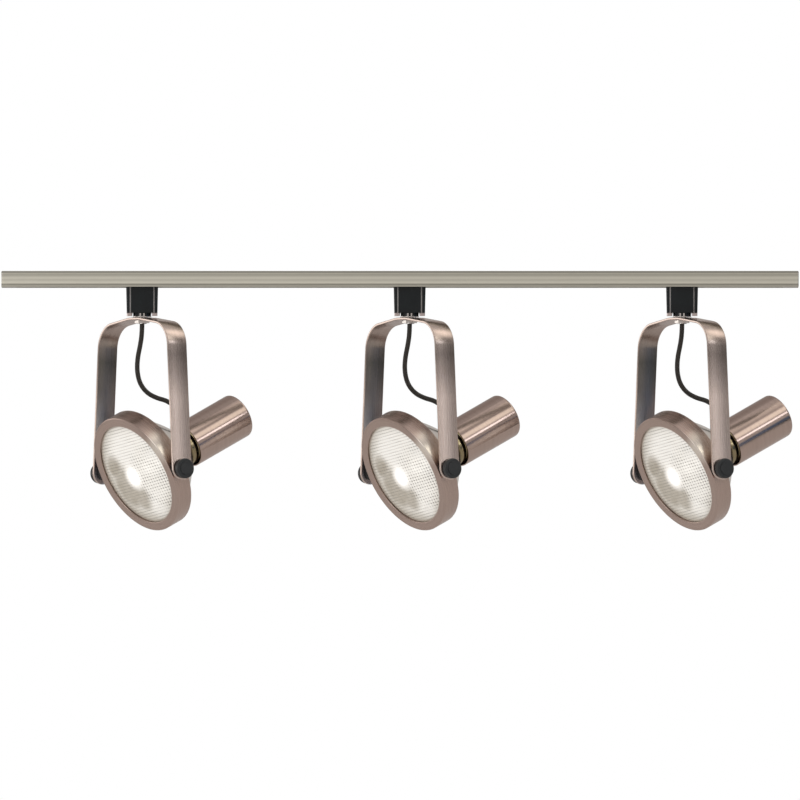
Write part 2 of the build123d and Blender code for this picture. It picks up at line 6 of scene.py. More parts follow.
import bpy
from mathutils import Matrix, Vector
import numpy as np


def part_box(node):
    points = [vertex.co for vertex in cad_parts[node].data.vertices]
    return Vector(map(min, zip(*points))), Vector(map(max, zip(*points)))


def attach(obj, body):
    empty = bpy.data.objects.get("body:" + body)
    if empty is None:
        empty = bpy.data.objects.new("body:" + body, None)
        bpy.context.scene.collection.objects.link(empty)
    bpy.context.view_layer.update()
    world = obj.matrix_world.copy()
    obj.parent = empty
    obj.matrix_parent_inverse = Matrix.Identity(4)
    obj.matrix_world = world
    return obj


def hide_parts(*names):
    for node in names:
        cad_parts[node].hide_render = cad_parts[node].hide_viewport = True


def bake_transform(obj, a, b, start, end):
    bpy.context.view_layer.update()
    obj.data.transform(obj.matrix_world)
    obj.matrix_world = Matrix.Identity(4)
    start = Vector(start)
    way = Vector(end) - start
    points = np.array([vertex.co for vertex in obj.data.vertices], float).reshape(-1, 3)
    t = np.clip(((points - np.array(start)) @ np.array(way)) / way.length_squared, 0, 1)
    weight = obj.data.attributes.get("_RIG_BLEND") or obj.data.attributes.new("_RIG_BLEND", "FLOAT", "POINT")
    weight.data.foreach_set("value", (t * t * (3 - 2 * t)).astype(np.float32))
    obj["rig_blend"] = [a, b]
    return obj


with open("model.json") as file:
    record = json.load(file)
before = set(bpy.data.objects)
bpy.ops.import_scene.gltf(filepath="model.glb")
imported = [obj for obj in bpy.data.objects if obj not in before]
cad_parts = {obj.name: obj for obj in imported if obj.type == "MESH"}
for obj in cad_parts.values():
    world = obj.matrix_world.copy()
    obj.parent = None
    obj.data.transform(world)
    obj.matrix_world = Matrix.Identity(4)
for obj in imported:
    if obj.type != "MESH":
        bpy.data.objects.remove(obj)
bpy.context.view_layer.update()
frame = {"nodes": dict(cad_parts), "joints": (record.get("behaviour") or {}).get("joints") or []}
joints = {j["name"]: j for j in frame["joints"]}

# ---- driving sizes, in metres ----
MM = 0.001
TILT = math.radians(26.6)
HEADS = (1, 2, 3)
STRAP_WIDTH = 24 * MM
STRAP_THICKNESS = 2.6 * MM
STRAP_EDGE = 0.7 * MM
ARM_HALF = 74 * MM
ARM_FLARE = math.radians(4.1)
CROWN_SLOPE = math.radians(8)
CROWN_FLAT = 9 * MM
CROWN_RADIUS = 27 * MM
CROWN_FLAT_RADIUS = 40 * MM
STRAP_TOP_Z = -48.6 * MM
RING_RADIUS = 65.5 * MM
RING_WALL = 1.6 * MM
RING_FRONT = 9.2 * MM
RING_BACK = -10.5 * MM
LIP_RADIUS = 56 * MM
LAMP_RADIUS = 60.6 * MM
NECK_RADIUS = 20.3 * MM
NECK_Z = -55 * MM
BELL_WALL = 2.4 * MM
LENSLET_WIDTH, LENSLET_HEIGHT = 4.5 * MM, 3.2 * MM
LENSLET_TURN = math.radians(7)
CUP_RADIUS = 24 * MM
CUP_WALL = 1 * MM
CUP_FRONT = -62.6 * MM
CUP_BACK = -137 * MM
CORD_DIAMETER = 5 * MM
CORD_SIDES = 20

# cord route from inside the swivel's tube to the grommet in the cup, for a swivel at x = 0
CORD_ROUTE = [
    (0.0, 0.0, -0.0500),
    (0.0, 0.0, -0.0640),
    (-0.0018, 0.0009, -0.0770),
    (-0.0048, 0.0022, -0.0910),
    (-0.0054, 0.0039, -0.1050),
    (-0.0024, 0.0063, -0.1180),
    (0.0050, 0.0100, -0.1276),
    (0.0154, 0.0154, -0.1329),
    (0.0270, 0.0210, -0.1356),
    (0.0382, 0.0262, -0.1443),
    (0.0447, 0.0306, -0.1599),
]

# ---- camera ----

cap_low, cap_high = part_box("end_caps")
VIEW_ELEVATION = math.radians(-2.3)
FRAME_MARGIN = 1.0033
FRAME_WIDTH = (cap_high.x - cap_low.x) * FRAME_MARGIN
FRAME_DROP = 135.4 * MM  # from the rail's top to the middle of the view
CAMERA_DISTANCE = 2

camera_data = bpy.data.cameras.new("camera")
camera_data.type = "ORTHO"
camera_data.ortho_scale = FRAME_WIDTH
camera_data.clip_end = 10 * CAMERA_DISTANCE
camera = bpy.data.objects.new("camera", camera_data)
bpy.context.scene.collection.objects.link(camera)
view_direction = Vector((0, math.cos(VIEW_ELEVATION), -math.sin(VIEW_ELEVATION)))
aim = Vector((0, 0, -FRAME_DROP / math.cos(VIEW_ELEVATION)))
camera.location = aim - view_direction * CAMERA_DISTANCE
camera.rotation_euler = view_direction.to_track_quat("-Z", "Y").to_euler()
bpy.context.scene.camera = camera


# ---- materials ----


# sockets of a colour Mix node: its factor, its two colours and its result
FACTOR, COLOUR_A, COLOUR_B, RESULT = 0, 6, 7, 2


def grey(value):
    return (value, value, value)


class Nodes:
    """A material and short calls for the nodes that feed its shader."""

    def __init__(self, name, **sockets):
        self.material = bpy.data.materials.new(name)
        self.material.use_nodes = True
        self.tree = self.material.node_tree
        self.shader = self.tree.nodes["Principled BSDF"]
        for socket, value in sockets.items():
            self.shader.inputs[socket.replace("_", " ")].default_value = value

    def add(self, kind, **values):
        node = self.tree.nodes.new(kind)
        for key, value in values.items():
            if key in node.inputs:
                node.inputs[key].default_value = value
            else:
                setattr(node, key, value)
        return node

    def link(self, output, target):
        self.tree.links.new(output, target)

    def coordinates(self, source="Object", scale=(1, 1, 1), rotation=(0, 0, 0)):
        """Object or UV coordinates, stretched and turned."""
        where = self.add("ShaderNodeTexCoord")
        mapping = self.add("ShaderNodeMapping")
        mapping.inputs["Scale"].default_value = scale
        mapping.inputs["Rotation"].default_value = rotation
        self.link(where.outputs[source], mapping.inputs["Vector"])
        return mapping.outputs["Vector"]

    def noise(self, vector, scale, detail=4.0, roughness=0.6):
        node = self.add("ShaderNodeTexNoise", Scale=scale, Detail=detail, Roughness=roughness)
        self.link(vector, node.inputs["Vector"])
        return node.outputs["Fac"]

    def ramp(self, fac, *stops):
        """A colour ramp; each stop is (position, colour)."""
        node = self.add("ShaderNodeValToRGB")
        elements = node.color_ramp.elements
        while len(elements) < len(stops):
            elements.new(0.5)
        for element, (position, colour) in zip(elements, stops):
            element.position = position
            element.color = (*colour, 1)
        self.link(fac, node.inputs["Fac"])
        return node.outputs["Color"]

    def spread(self, fac, low, high):
        """Map a texture's middle range to low..high."""
        node = self.add("ShaderNodeMapRange")
        node.inputs["From Min"].default_value = 0.3
        node.inputs["From Max"].default_value = 0.7
        node.inputs["To Min"].default_value = low
        node.inputs["To Max"].default_value = high
        self.link(fac, node.inputs["Value"])
        return node.outputs["Result"]

    def mix(self, fac, one, two):
        """Mix two colours, each a colour or an output."""
        node = self.add("ShaderNodeMix", data_type="RGBA")
        for value, index in ((fac, FACTOR), (one, COLOUR_A), (two, COLOUR_B)):
            if isinstance(value, bpy.types.NodeSocket):
                self.link(value, node.inputs[index])
            else:
                node.inputs[index].default_value = value if index == FACTOR else (*value, 1)
        return node.outputs[RESULT]

    def multiply(self, one, two):
        """Multiply two colour outputs."""
        node = self.add("ShaderNodeMix", data_type="RGBA", blend_type="MULTIPLY")
        node.inputs[FACTOR].default_value = 1.0
        self.link(one, node.inputs[COLOUR_A])
        self.link(two, node.inputs[COLOUR_B])
        return node.outputs[RESULT]

    def maths(self, operation, one, two=0.0):
        """One Math node; each value is a number or an output."""
        node = self.add("ShaderNodeMath", operation=operation)
        for value, index in ((one, 0), (two, 1)):
            if isinstance(value, bpy.types.NodeSocket):
                self.link(value, node.inputs[index])
            else:
                node.inputs[index].default_value = value
        return node.outputs[0]

    def part(self, vector, axis):
        """One component of a vector output."""
        node = self.add("ShaderNodeSeparateXYZ")
        self.link(vector, node.inputs[0])
        return node.outputs[axis]

    def step(self, value, low, high, easing="SMOOTHSTEP"):
        """0 below low, 1 above high, eased between; low may be the greater."""
        node = self.add("ShaderNodeMapRange", interpolation_type=easing)
        node.inputs["From Min"].default_value = low
        node.inputs["From Max"].default_value = high
        self.link(value, node.inputs["Value"])
        return node.outputs["Result"]

    def along(self, axis, low, high):
        """0 to 1 along an object axis."""
        return self.step(self.part(self.coordinates("Object"), axis), low, high, "LINEAR")

    def around(self, x, y, z, inner, outer, source="UV"):
        """1 near a point, fading to 0 from the inner to the outer radius."""
        distance = self.add("ShaderNodeVectorMath", operation="DISTANCE")
        self.link(self.coordinates(source), distance.inputs[0])
        distance.inputs[1].default_value = (x, y, z)
        return self.step(distance.outputs["Value"], outer, inner)

    def bump(self, height, strength, distance):
        node = self.add("ShaderNodeBump", Strength=strength, Distance=distance)
        self.link(height, node.inputs["Height"])
        self.link(node.outputs["Normal"], self.shader.inputs["Normal"])

    def colour(self, output):
        self.link(output, self.shader.inputs["Base Color"])

    def rough(self, output):
        self.link(output, self.shader.inputs["Roughness"])


def brushed_metal(
    name,
    dark,
    light,
    rough,
    source="UV",
    grain=(6, 4000, 6),
    strength=0.03,
    shade=None,
    anisotropy=0.0,
    pale=None,
):
    """Plated metal brushed along one direction.

    shade is (axis, low, high, stops), painted light and shade along an object axis, and pale is (point,
    inner, outer, colour), a painted highlight round an object point.
    """
    made = Nodes(name, Metallic=1.0, IOR=1.8, Anisotropic=anisotropy, Anisotropic_Rotation=0.25)
    tangent = made.add("ShaderNodeTangent", direction_type="RADIAL", axis="Z")
    made.link(tangent.outputs["Tangent"], made.shader.inputs["Tangent"])
    fine = made.noise(made.coordinates(source, grain), 1.0, 6.0, 0.7)
    broad = made.noise(made.coordinates(source, tuple(g * 0.06 for g in grain)), 1.0, 3.0, 0.5)
    cloud = made.noise(made.coordinates("Object"), 34.0, 3.0, 0.5)
    fine_streaks = made.ramp(fine, (0.25, dark), (0.75, light))
    broad_streaks = made.ramp(broad, (0.3, dark), (0.7, light))
    streaks = made.mix(0.4, fine_streaks, broad_streaks)
    toned = made.mix(made.spread(cloud, 0.0, 0.2), streaks, dark)
    # painted light and shade along an object axis
    if shade:
        axis, low, high, stops = shade
        toned = made.multiply(toned, made.ramp(made.along(axis, low, high), *stops))
    # a painted highlight round an object point
    if pale:
        point, inner, outer, colour = pale
        toned = made.mix(made.around(*point, inner, outer, "Object"), toned, colour)
    made.colour(toned)
    made.rough(made.spread(fine, *rough))
    made.bump(fine, strength, 0.05 * MM)
    return made.material


def moulded(name, colour, rough, grain, strength, **sockets):
    """Moulded plastic or rubber: fine grain, slight tone and gloss changes."""
    made = Nodes(name, **sockets)
    where = made.coordinates("Object")
    fine = made.noise(where, grain, 4.0, 0.6)
    cloud = made.noise(where, 60.0, 3.0, 0.5)
    lighter = tuple(min(1.0, c * 1.35 + 0.006) for c in colour)
    made.colour(made.mix(made.spread(cloud, 0.0, 0.8), colour, lighter))
    made.rough(made.spread(fine, *rough))
    made.bump(fine, strength, 0.08 * MM)
    return made.material


def adapter_black(name, middle):
    """Glossy black moulding, centred on x = middle; the edges of its raised panels carry painted highlights.
    """
    panel_half = 12.5 * MM
    made = Nodes(name, Specular_IOR_Level=0.3)
    where = made.coordinates("Object")
    fine = made.noise(where, 1200.0, 4.0, 0.6)
    cloud = made.noise(where, 60.0, 3.0, 0.5)
    black = made.mix(made.spread(cloud, 0.0, 0.8), (0.009, 0.012, 0.014), (0.014, 0.019, 0.022))
    off = made.maths("ABSOLUTE", made.maths("SUBTRACT", made.part(where, 0), middle))
    # painted highlights: pale lines along the edges of the raised panels
    edge = made.step(made.maths("ABSOLUTE", made.maths("SUBTRACT", off, panel_half)), 0.8 * MM, 0.3 * MM)
    painted_highlight = made.maths("MULTIPLY", edge, made.spread(cloud, 0.45, 0.8))
    made.colour(made.mix(painted_highlight, black, (0.62, 0.60, 0.60)))
    made.rough(made.spread(fine, 0.12, 0.22))
    made.bump(fine, 0.04, 0.04 * MM)
    return made.material


def silvered_glass():
    """The lamp's bell: aluminised glass with a soft mottle."""
    made = Nodes("silvered_bell", Metallic=1.0, IOR=1.6, Coat_Weight=0.5, Coat_Roughness=0.04)
    where = made.coordinates("Object")
    mottle = made.noise(where, 90.0, 4.0, 0.6)
    cloud = made.noise(where, 22.0, 2.0, 0.5)
    made.colour(made.mix(made.spread(cloud, 0.0, 0.7), (0.84, 0.80, 0.74), (0.70, 0.66, 0.60)))
    made.rough(made.spread(mottle, 0.14, 0.24))
    made.bump(mottle, 0.08, 0.4 * MM)
    return made.material


def bright_reflector():
    """The inside of the bell: stippled bright aluminium."""
    made = Nodes("bright_reflector", Metallic=0.85, IOR=1.6)
    where = made.coordinates("Object")
    cells = made.add("ShaderNodeTexVoronoi", Scale=320.0)
    made.link(where, cells.inputs["Vector"])
    cloud = made.noise(where, 30.0, 3.0, 0.5)
    made.colour(made.mix(made.spread(cloud, 0.0, 1.0), (0.95, 0.93, 0.89), (0.82, 0.79, 0.73)))
    made.rough(made.spread(cells.outputs["Distance"], 0.18, 0.34))
    made.bump(cells.outputs["Distance"], 0.25, 0.8 * MM)
    return made.material


def prismatic_glass():
    """Pressed glass of the lamp's face: rows of small lenses, painted bright and dark where the reflector
    would show through, with a painted glow.
    """
    # the emission paints a glow on the face
    sockets = {"IOR": 1.47, "Transmission_Weight": 0.22, "Specular_IOR_Level": 0.6, "Emission_Strength": 1.0}
    made = Nodes("prismatic_glass", **sockets)

    def spot(x, y, inner, outer):
        """A soft round patch of the face; all in millimetres, from its middle."""
        return made.around(x * MM, y * MM, 0, inner * MM, outer * MM)

    # dark dashes between the rows of lenses, broken into dots on one side of the face
    turned = made.coordinates("UV", rotation=(0, 0, -LENSLET_TURN))
    row = made.maths("PINGPONG", made.maths("DIVIDE", made.part(turned, 1), LENSLET_HEIGHT), 0.5)
    column = made.maths("PINGPONG", made.maths("DIVIDE", made.part(turned, 0), LENSLET_WIDTH), 0.5)
    between_rows = made.step(row, 0.24, 0.03)
    between_columns = made.step(column, 0.36, 0.16)
    dotted = spot(30, -4, 28, 44)
    plain = made.maths("SUBTRACT", 0.75, made.maths("MULTIPLY", dotted, 0.55))
    dot_depth = made.maths("ADD", made.maths("MULTIPLY", dotted, 1.1), 0.35)
    dots = made.maths("MULTIPLY", between_columns, dot_depth)
    dashes = made.maths("MULTIPLY", between_rows, made.maths("ADD", dots, plain))
    gaps = made.maths("MULTIPLY", dotted, between_columns)
    dashes = made.maths("ADD", dashes, made.maths("MULTIPLY", gaps, 0.3))
    patch = made.noise(made.coordinates("UV"), 55.0, 2.0, 0.5)

    # painted light and shade: a painted hot spot, painted shadows and painted bright patches where the
    # reflector behind the glass would show bright or dark
    painted_hot_spot = spot(-7.2, -3.6, 4, 18.5)
    shadow = spot(-24, -16, 15, 34)
    low_shadow = spot(-6, -29, 7, 22)
    left_shadow = spot(-36, 8, 6, 23)
    top_bright = spot(-4, 28, 10, 26)
    low_bright = spot(16, -38, 6, 22)
    shade = made.maths("MAXIMUM", made.maths("MAXIMUM", shadow, low_shadow), left_shadow)
    middle = spot(8, 5, 38, 64)
    # painted shade towards the face's edge
    edge = made.maths("MULTIPLY", made.maths("SUBTRACT", 1.0, middle), 0.85)
    shade = made.maths("MAXIMUM", made.maths("MULTIPLY", shade, made.spread(patch, 0.8, 1.0)), edge)
    lit = made.maths("MAXIMUM", top_bright, low_bright)

    # the painted glow, dimmer in the painted shadows
    glow = made.mix(shade, (0.44, 0.43, 0.41), (0.098, 0.084, 0.062))
    glow = made.mix(made.maths("MULTIPLY", lit, 0.8), glow, (0.44, 0.435, 0.42))
    tone = made.mix(shade, (0.82, 0.81, 0.78), (0.46, 0.43, 0.375))
    uneven = made.spread(made.noise(made.coordinates("UV", (30, 75, 1)), 1.0, 2.0, 0.5), 0.35, 1.3)
    darkest = made.mix(lit, grey(0.56), grey(0.46))
    depth = made.maths("MULTIPLY", made.maths("MULTIPLY", dashes, uneven), darkest)
    tone = made.mix(depth, tone, (0.16, 0.15, 0.13))
    glow = made.mix(depth, glow, (0.07, 0.065, 0.055))
    face = made.around(0, 0, 0, LIP_RADIUS - 2.5 * MM, LIP_RADIUS - 0.4 * MM)
    tone = made.mix(face, (0.46, 0.41, 0.35), tone)
    glow = made.mix(face, (0.10, 0.085, 0.07), glow)
    tone = made.mix(painted_hot_spot, tone, (0.95, 0.95, 0.94))
    glow = made.mix(painted_hot_spot, glow, (0.75, 0.74, 0.72))
    made.colour(tone)
    made.link(glow, made.shader.inputs["Emission Color"])
    made.rough(made.spread(patch, 0.1, 0.2))
    return made.material


def frosted_capsule():
    """The lamp's inner bulb, frosted white, with a faint painted glow."""
    made = Nodes("frosted_capsule", IOR=1.45, Emission_Strength=0.55)
    where = made.coordinates("Object")
    fine = made.noise(where, 700.0, 3.0, 0.6)
    # the emission is a painted glow
    made.shader.inputs["Emission Color"].default_value = (1.0, 0.97, 0.92, 1)
    made.colour(made.mix(made.spread(fine, 0.0, 1.0), (0.97, 0.96, 0.94), (0.90, 0.89, 0.86)))
    made.rough(made.spread(fine, 0.35, 0.5))
    return made.material


def braided_sleeve():
    """Dark sleeve over the cord, with a fine diagonal weave."""
    made = Nodes("cord_sleeve", Sheen_Weight=0.15)
    waves = []
    for turn in (0.62, -0.62):
        wave = made.add("ShaderNodeTexWave", Scale=1.0, Distortion=0.0)
        made.link(made.coordinates("UV", (170, 60, 1), (0, 0, turn)), wave.inputs["Vector"])
        waves.append(wave.outputs["Fac"])
    weave = made.maths("MAXIMUM", *waves)
    cloud = made.noise(made.coordinates("Object"), 120.0, 3.0, 0.6)
    dull = made.mix(made.spread(cloud, 0.0, 0.6), (0.028, 0.024, 0.019), (0.060, 0.053, 0.043))
    made.colour(made.mix(weave, (0.016, 0.014, 0.012), dull))
    made.rough(made.spread(cloud, 0.55, 0.75))
    made.bump(weave, 0.5, 0.25 * MM)
    return made.material


NICKEL_DARK, NICKEL_LIGHT = (0.46, 0.36, 0.32), (0.60, 0.475, 0.425)
STRAP_DARK, STRAP_LIGHT = (0.60, 0.50, 0.45), (0.76, 0.64, 0.585)
# darker colours for the left arm's inner face: painted shade
INSIDE_DARK, INSIDE_LIGHT = (0.44, 0.40, 0.38), (0.56, 0.51, 0.49)
RAIL_DARK, RAIL_LIGHT = (0.86, 0.85, 0.74), (0.98, 0.97, 0.85)
TAB_DARK, TAB_LIGHT = (0.62, 0.53, 0.52), (0.82, 0.74, 0.72)
BRIGHT_DARK, BRIGHT_LIGHT = (0.55, 0.52, 0.50), (0.85, 0.82, 0.79)
STEEL_DARK, STEEL_LIGHT = (0.35, 0.34, 0.33), (0.6, 0.59, 0.57)
BRASS_DARK, BRASS_LIGHT = (0.10, 0.08, 0.045), (0.62, 0.52, 0.32)
COPPER_DARK, COPPER_LIGHT = (0.55, 0.27, 0.14), (0.85, 0.48, 0.28)

# painted light and shade on the rail's side, by depth below its top in mm: the flutes and the mouth are
# darker, as painted shade
RAIL_SHADE_BANDS = (
    (0.0, 0.42),
    (1.8, 0.46),
    (2.5, 0.80),
    (3.7, 0.62),
    (5.0, 0.68),
    (7.3, 0.94),
    (9.6, 0.77),
    (12.2, 1.0),
    (13.4, 0.74),
    (14.2, 0.42),
    (15.3, 0.54),
    (16.1, 0.95),
    (16.5, 0.34),
)
RAIL_HEIGHT = 16.5
rail_stops = [(1 - depth / RAIL_HEIGHT, grey(tone)) for depth, tone in reversed(RAIL_SHADE_BANDS)]
rail_shade = (2, -RAIL_HEIGHT * MM, 0.0, rail_stops)

# painted light and shade on the strap's faces, from the pivot at 0 to just above the crown at 1
ARM_SHADE_TOP = 162 * MM
arm_stops = [
    (0.0, grey(1.0)),
    (0.46, grey(0.97)),
    (0.62, grey(0.56)),
    (0.75, grey(0.35)),
    (0.81, grey(0.46)),
    (0.89, grey(1.0)),
]
# painted shade on the left arm's inner face, with a bluish painted reflection near the pivot
inside_stops = [
    (0.0, (0.88, 1.0, 1.15)),
    (0.3, (0.78, 0.86, 0.98)),
    (0.55, (0.60, 0.61, 0.60)),
    (0.72, (0.40, 0.41, 0.38)),
    (0.84, (0.80, 0.76, 0.72)),
    (0.95, (0.95, 0.84, 0.80)),
    (1.0, (1.0, 0.95, 0.95)),
]

arm_shade = (1, 0.0, ARM_SHADE_TOP, arm_stops)
inside_shade = (1, 0.0, ARM_SHADE_TOP, inside_stops)

# a painted highlight on the ring beside the right arm
ring_painted_highlight = ((59.4 * MM, 27.7 * MM, 0), 8 * MM, 24 * MM, (0.95, 0.88, 0.80))

# the rail's tone bands are painted light and shade
rail_metal = brushed_metal(
    "rail_nickel", RAIL_DARK, RAIL_LIGHT, (0.3, 0.4), "Object", (5, 2500, 2500), 0.02, rail_shade
)
# the tones along the strap's arms are painted light and shade
strap_metal = brushed_metal("strap_nickel", STRAP_DARK, STRAP_LIGHT, (0.22, 0.3), shade=arm_shade)
shaded_inside_metal = brushed_metal("strap_inside_painted_shade", INSIDE_DARK, INSIDE_LIGHT, (0.24, 0.34), shade=inside_shade)
# the ring carries a painted highlight beside the right arm
ring_metal = brushed_metal(
    "ring_nickel", NICKEL_DARK, NICKEL_LIGHT, (0.22, 0.3), anisotropy=0.6, pale=ring_painted_highlight
)
cup_metal = brushed_metal("cup_nickel", NICKEL_DARK, NICKEL_LIGHT, (0.16, 0.21), anisotropy=0.93)
tab_metal = brushed_metal("tab_nickel", TAB_DARK, TAB_LIGHT, (0.2, 0.3), "Object", (40, 40, 900))
bright_metal = brushed_metal(
    "hardware_nickel", BRIGHT_DARK, BRIGHT_LIGHT, (0.12, 0.24), "Object", (300, 300, 300)
)
steel = brushed_metal("stud_steel", STEEL_DARK, STEEL_LIGHT, (0.2, 0.35), "Object", (400, 400, 400))
brass = brushed_metal("lamp_brass", BRASS_DARK, BRASS_LIGHT, (0.16, 0.28), "UV", (8, 1500, 8))
copper = brushed_metal("contact_copper", COPPER_DARK, COPPER_LIGHT, (0.2, 0.34), "Object", (60, 800, 800))
black_gloss = moulded("adapter_core", (0.010, 0.010, 0.012), (0.3, 0.4), 1200.0, 0.05)
knob_plastic = moulded(
    "knob_black", (0.021, 0.024, 0.026), (0.34, 0.46), 1600.0, 0.25, Specular_IOR_Level=0.45
)
rubber = moulded("bushing_rubber", (0.012, 0.012, 0.012), (0.5, 0.68), 1100.0, 0.25)
phenolic = moulded("lampholder_phenolic", (0.018, 0.014, 0.011), (0.38, 0.52), 700.0, 0.15)
insulator = moulded("insulator_plastic", (0.62, 0.61, 0.57), (0.42, 0.55), 500.0, 0.08)
terminal = moulded("terminal_plastic", (0.03, 0.03, 0.032), (0.4, 0.55), 500.0, 0.1)
silver = silvered_glass()
bright = bright_reflector()
glass = prismatic_glass()
capsule_white = frosted_capsule()
sleeve = braided_sleeve()


# ---- mesh helpers ----


def link_mesh(name, vertices, faces, uvs, materials, slots=None, matrix=None, sharp_angle=35):
    """A smooth-shaded mesh object with one UV per face corner; slots has each face's material index."""
    mesh = bpy.data.meshes.new(name)
    mesh.from_pydata(vertices, [], faces)
    layer = mesh.uv_layers.new(name="uv")
    corner = 0
    for face in uvs:
        for uv in face:
            layer.data[corner].uv = uv
            corner += 1
    for material in materials:
        mesh.materials.append(material)
    if slots:
        for polygon, index in zip(mesh.polygons, slots):
            polygon.material_index = index
    mesh.polygons.foreach_set("use_smooth", [True] * len(mesh.polygons))
    mesh.set_sharp_from_angle(angle=math.radians(sharp_angle))
    mesh.validate()
    made = bpy.data.objects.new(name, mesh)
    bpy.context.scene.collection.objects.link(made)
    if matrix is not None:
        made.matrix_world = matrix
    return made


def softened(points, radius, steps):
    """An open (r, z) outline whose inner corners are rounded, each by at most 0.45 of a side."""
    out = [points[0]]
    for before, here, after in zip(points, points[1:], points[2:]):
        a, b, c = Vector(before), Vector(here), Vector(after)
        side = min((a - b).length, (c - b).length) * 0.45
        cut = min(radius, side)
        start, end = b + (a - b).normalized() * cut, b + (c - b).normalized() * cut
        for i in range(steps + 1):
            t = i / steps
            p = start * (1 - t) ** 2 + b * 2 * t * (1 - t) + end * t**2
            out.append((p.x, p.y))
    out.append(points[-1])
    return out


def lathe(name, outline, material, matrix, segments, closed=True, inner=None, split=None):
    """Turn an (r, z) outline about local z. Points on the axis close it; closed joins last to first.

    From the outline's point number split on, the faces take the inner material.
    """
    vertices, rows = [], []
    for r, z in outline:
        if r < 1e-7:
            rows.append([len(vertices)] * segments)
            vertices.append((0, 0, z))
        else:
            rows.append(list(range(len(vertices), len(vertices) + segments)))
            for i in range(segments):
                turn = 2 * math.pi * i / segments
                vertices.append((r * math.cos(turn), r * math.sin(turn), z))
    along = [0.0]
    count = len(outline)
    for i in range(1, count + 1):
        here, before = outline[i % count], outline[i - 1]
        along.append(along[-1] + math.dist(here, before))
    mean = max(r for r, _ in outline)
    faces, uvs, slots = [], [], []
    for i in range(count if closed else count - 1):
        low, high = rows[i], rows[(i + 1) % count]
        for k in range(segments):
            m = (k + 1) % segments
            u0, u1 = 2 * math.pi * mean * k / segments, 2 * math.pi * mean * (k + 1) / segments
            corners = [
                (low[k], (u0, along[i])),
                (low[m], (u1, along[i])),
                (high[m], (u1, along[i + 1])),
                (high[k], (u0, along[i + 1])),
            ]
            kept = []
            for index, uv in corners:
                if all(index != other for other, _ in kept):
                    kept.append((index, uv))
            if len(kept) < 3:
                continue
            faces.append([index for index, _ in kept])
            uvs.append([uv for _, uv in kept])
            slots.append(1 if split and i >= split else 0)
    materials = [material] if inner is None else [material, inner]
    return link_mesh(name, vertices, faces, uvs, materials, slots if inner else None, matrix)


def place(piece, body, slot, *nodes):
    """Ride a piece on a body, in place of its CAD nodes; slot is not used."""
    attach(piece, body)
    if nodes:
        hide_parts(*nodes)


def axes(x, y, z, origin):
    """A matrix with these local axes."""
    columns = Matrix((x, y, z)).transposed().to_4x4()
    columns.translation = origin
    return columns


# ---- pieces of a head ----


def arch_line(pivot_z):
    """Points of the strap's middle line in the yoke's plane, from one foot to the other."""
    crown = STRAP_TOP_Z - STRAP_THICKNESS / 2 - pivot_z
    slope, flare = math.tan(CROWN_SLOPE), math.tan(ARM_FLARE)
    corner_y = (crown - (ARM_HALF - CROWN_FLAT) * slope) / (1 - flare * slope)
    corner = Vector((ARM_HALF - corner_y * flare, corner_y))
    right = [Vector((ARM_HALF, 0)), corner, Vector((CROWN_FLAT, crown))]
    points = right + [Vector((-p.x, p.y)) for p in reversed(right)]
    radii = [CROWN_RADIUS, CROWN_FLAT_RADIUS, CROWN_FLAT_RADIUS, CROWN_RADIUS]
    degrees_a_step = 2.5
    line = [points[0]]
    for i, radius in enumerate(radii, start=1):
        into = (points[i] - points[i - 1]).normalized()
        out = (points[i + 1] - points[i]).normalized()
        turn = into.angle(out)
        reach = radius * math.tan(turn / 2)
        start = points[i] - into * reach
        centre = start + Vector((-into.y, into.x)) * radius
        steps = max(3, round(math.degrees(turn) / degrees_a_step))
        for k in range(steps + 1):
            angle = turn * k / steps
            arm = start - centre
            turned = Vector(
                (
                    arm.x * math.cos(angle) - arm.y * math.sin(angle),
                    arm.x * math.sin(angle) + arm.y * math.cos(angle),
                )
            )
            line.append(centre + turned)
    line.append(points[-1])
    return line


def strap_stations(pivot_z):
    """Stations along the strap: (middle point, direction, half width); the feet are half round."""
    line = arch_line(pivot_z)
    half = STRAP_WIDTH / 2
    first = (line[1] - line[0]).normalized()
    last = (line[-1] - line[-2]).normalized()
    stations = []
    foot_steps = 14
    for i in range(foot_steps):
        angle = math.pi / 2 * (1 - i / foot_steps)
        stations.append((line[0] - first * half * math.sin(angle), first, half * math.cos(angle)))
    for i, point in enumerate(line):
        before, after = line[max(i - 1, 0)], line[min(i + 1, len(line) - 1)]
        stations.append((point, (after - before).normalized(), half))
    for i in range(1, foot_steps + 1):
        angle = math.pi / 2 * i / foot_steps
        stations.append((line[-1] + last * half * math.sin(angle), last, half * math.cos(angle)))
    return stations


def strap_section(half):
    """Section of the strap, as (across, out) points: four rounded corners of four points each."""
    across = max(half - STRAP_EDGE, 0)
    edge_x = min(STRAP_EDGE, half)
    points = []
    for sign_x, sign_y, start in ((1, 1, 90), (1, -1, 0), (-1, -1, -90), (-1, 1, -180)):
        centre_x, centre_y = sign_x * across, sign_y * (STRAP_THICKNESS / 2 - STRAP_EDGE)
        for k in range(4):
            angle = math.radians(start - 30 * k)
            points.append((centre_x + edge_x * math.cos(angle), centre_y + STRAP_EDGE * math.sin(angle)))
    return points


